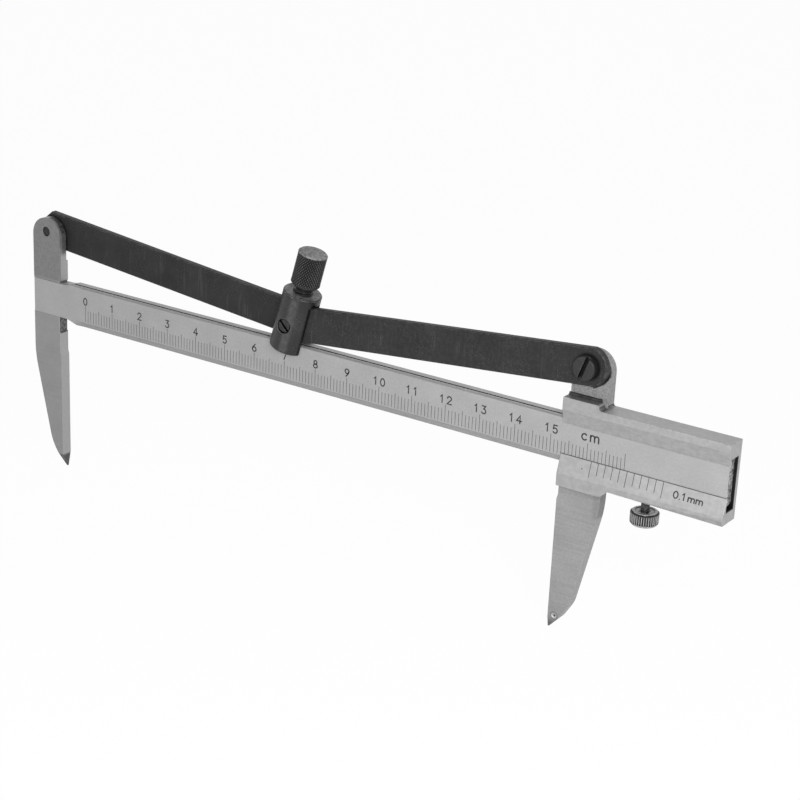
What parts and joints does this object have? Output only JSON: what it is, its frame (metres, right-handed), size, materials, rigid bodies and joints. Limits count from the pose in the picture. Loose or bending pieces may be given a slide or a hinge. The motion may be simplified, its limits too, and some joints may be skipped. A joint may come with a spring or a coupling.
{
  "type": "linkage vernier caliper",
  "caption": "Vernier caliper with pointed jaws and a pair of pivoted black arms that keep a knurled clamping block at the middle of the jaw gap.",
  "frame": {"origin": "X at the fixed jaw's measuring face, Y at the beam's graduated face, Z at the level of the jaw points", "axes": "+X along the beam towards the slider, +Y from the graduated face to the back, +Z from the jaw points up to the arms"},
  "size_m": [0.2162, 0.0104, 0.0818],
  "materials": {
    "satin_beam": "satin, fine ground",
    "satin_jaws": "satin, ground flat",
    "satin_rivets": "ground flush",
    "satin_slider": "satin, fine ground",
    "spring_strip": "hardened strip",
    "bright_shoe": "turned",
    "satin_screw": "turned, straight knurl",
    "black_arms": "blackened, satin",
    "black_screws": "blackened, turned",
    "black_block": "blackened, turned",
    "black_knob": "blackened, diamond knurl"
  },
  "bodies": {
    "beam": {"main_beam": "satin_beam", "fixed_jaw": "satin_jaws", "fixed_jaw_rivet_1": "satin_rivets", "fixed_jaw_rivet_2": "satin_rivets", "fixed_jaw_rivet_3": "satin_rivets", "left_pivot_screw": "black_screws"},
    "left_arm": {"left_arm": "black_arms"},
    "right_arm": {"right_arm": "black_arms"},
    "slider": {"slider_frame": "satin_slider", "moving_jaw": "satin_jaws", "moving_jaw_rivet_1": "satin_rivets", "moving_jaw_rivet_2": "satin_rivets", "moving_jaw_rivet_3": "satin_rivets", "moving_jaw_rivet_4": "satin_rivets", "right_pivot_screw": "black_screws", "gib_spring": "spring_strip"},
    "centre_spacer": {"centre_spacer": "black_arms"},
    "centre_block": {"centre_block": "black_block", "centre_pivot_screw": "black_screws"},
    "clamp_pad": {"clamp_pad": "bright_shoe"},
    "clamp_knob": {"clamp_knob": "black_knob"},
    "lock_shoe": {"lock_shoe": "bright_shoe"},
    "lock_screw": {"lock_screw": "satin_screw"}
  },
  "joints": [
    {"name": "arm_fold", "type": "hinge", "parent": "beam", "child": "left_arm", "pos_m": [-0.0051, 0.0026, 0.0695], "axis": [0, -1, 0], "range_deg": [0, 91.4]},
    {"name": "middle_pivot", "type": "hinge", "parent": "left_arm", "child": "right_arm", "pos_m": [0.08153, 0.00175, 0.06143], "axis": [0, -1, 0], "range_deg": [-182.8, 0]},
    {"name": "slider_pivot", "type": "hinge", "parent": "right_arm", "child": "slider", "pos_m": [0.16815, 0.0018, 0.0695], "axis": [0, -1, 0], "range_deg": [0, 91.4]},
    {"name": "spacer_turn", "type": "hinge", "parent": "left_arm", "child": "centre_spacer", "pos_m": [0.08153, 0.00175, 0.06143], "axis": [0, -1, 0], "range_deg": [-91.4, 0]},
    {"name": "block_swing", "type": "hinge", "parent": "centre_spacer", "child": "centre_block", "pos_m": [0.08153, 0.00175, 0.06143], "axis": [0, -1, 0], "range_deg": [0, 30]},
    {"name": "pad_advance", "type": "slide", "parent": "centre_block", "child": "clamp_pad", "axis": [0.2588, 0, 0.9659], "range_m": [0, 0.0016]},
    {"name": "knob_turn", "type": "hinge", "parent": "clamp_pad", "child": "clamp_knob", "pos_m": [0.08153, 0.00175, 0.06143], "axis": [0.2588, 0, 0.9659], "range_deg": [0, 720]},
    {"name": "shoe_advance", "type": "slide", "parent": "slider", "child": "lock_shoe", "axis": [0, 0, -1], "range_m": [0, 0.0006]},
    {"name": "lock_turn", "type": "hinge", "parent": "lock_shoe", "child": "lock_screw", "pos_m": [0.1852, 0.00175, 0.04], "axis": [0, 0, -1], "range_deg": [0, 540]}
  ],
  "couplings": [
    {"joint": "middle_pivot", "follows": "arm_fold", "ratio": -2},
    {"joint": "slider_pivot", "follows": "arm_fold", "ratio": 1},
    {"joint": "spacer_turn", "follows": "arm_fold", "ratio": -1},
    {"joint": "knob_turn", "follows": "pad_advance", "rad_per_m": 7854},
    {"joint": "lock_turn", "follows": "shoe_advance", "rad_per_m": 15708}
  ]
}
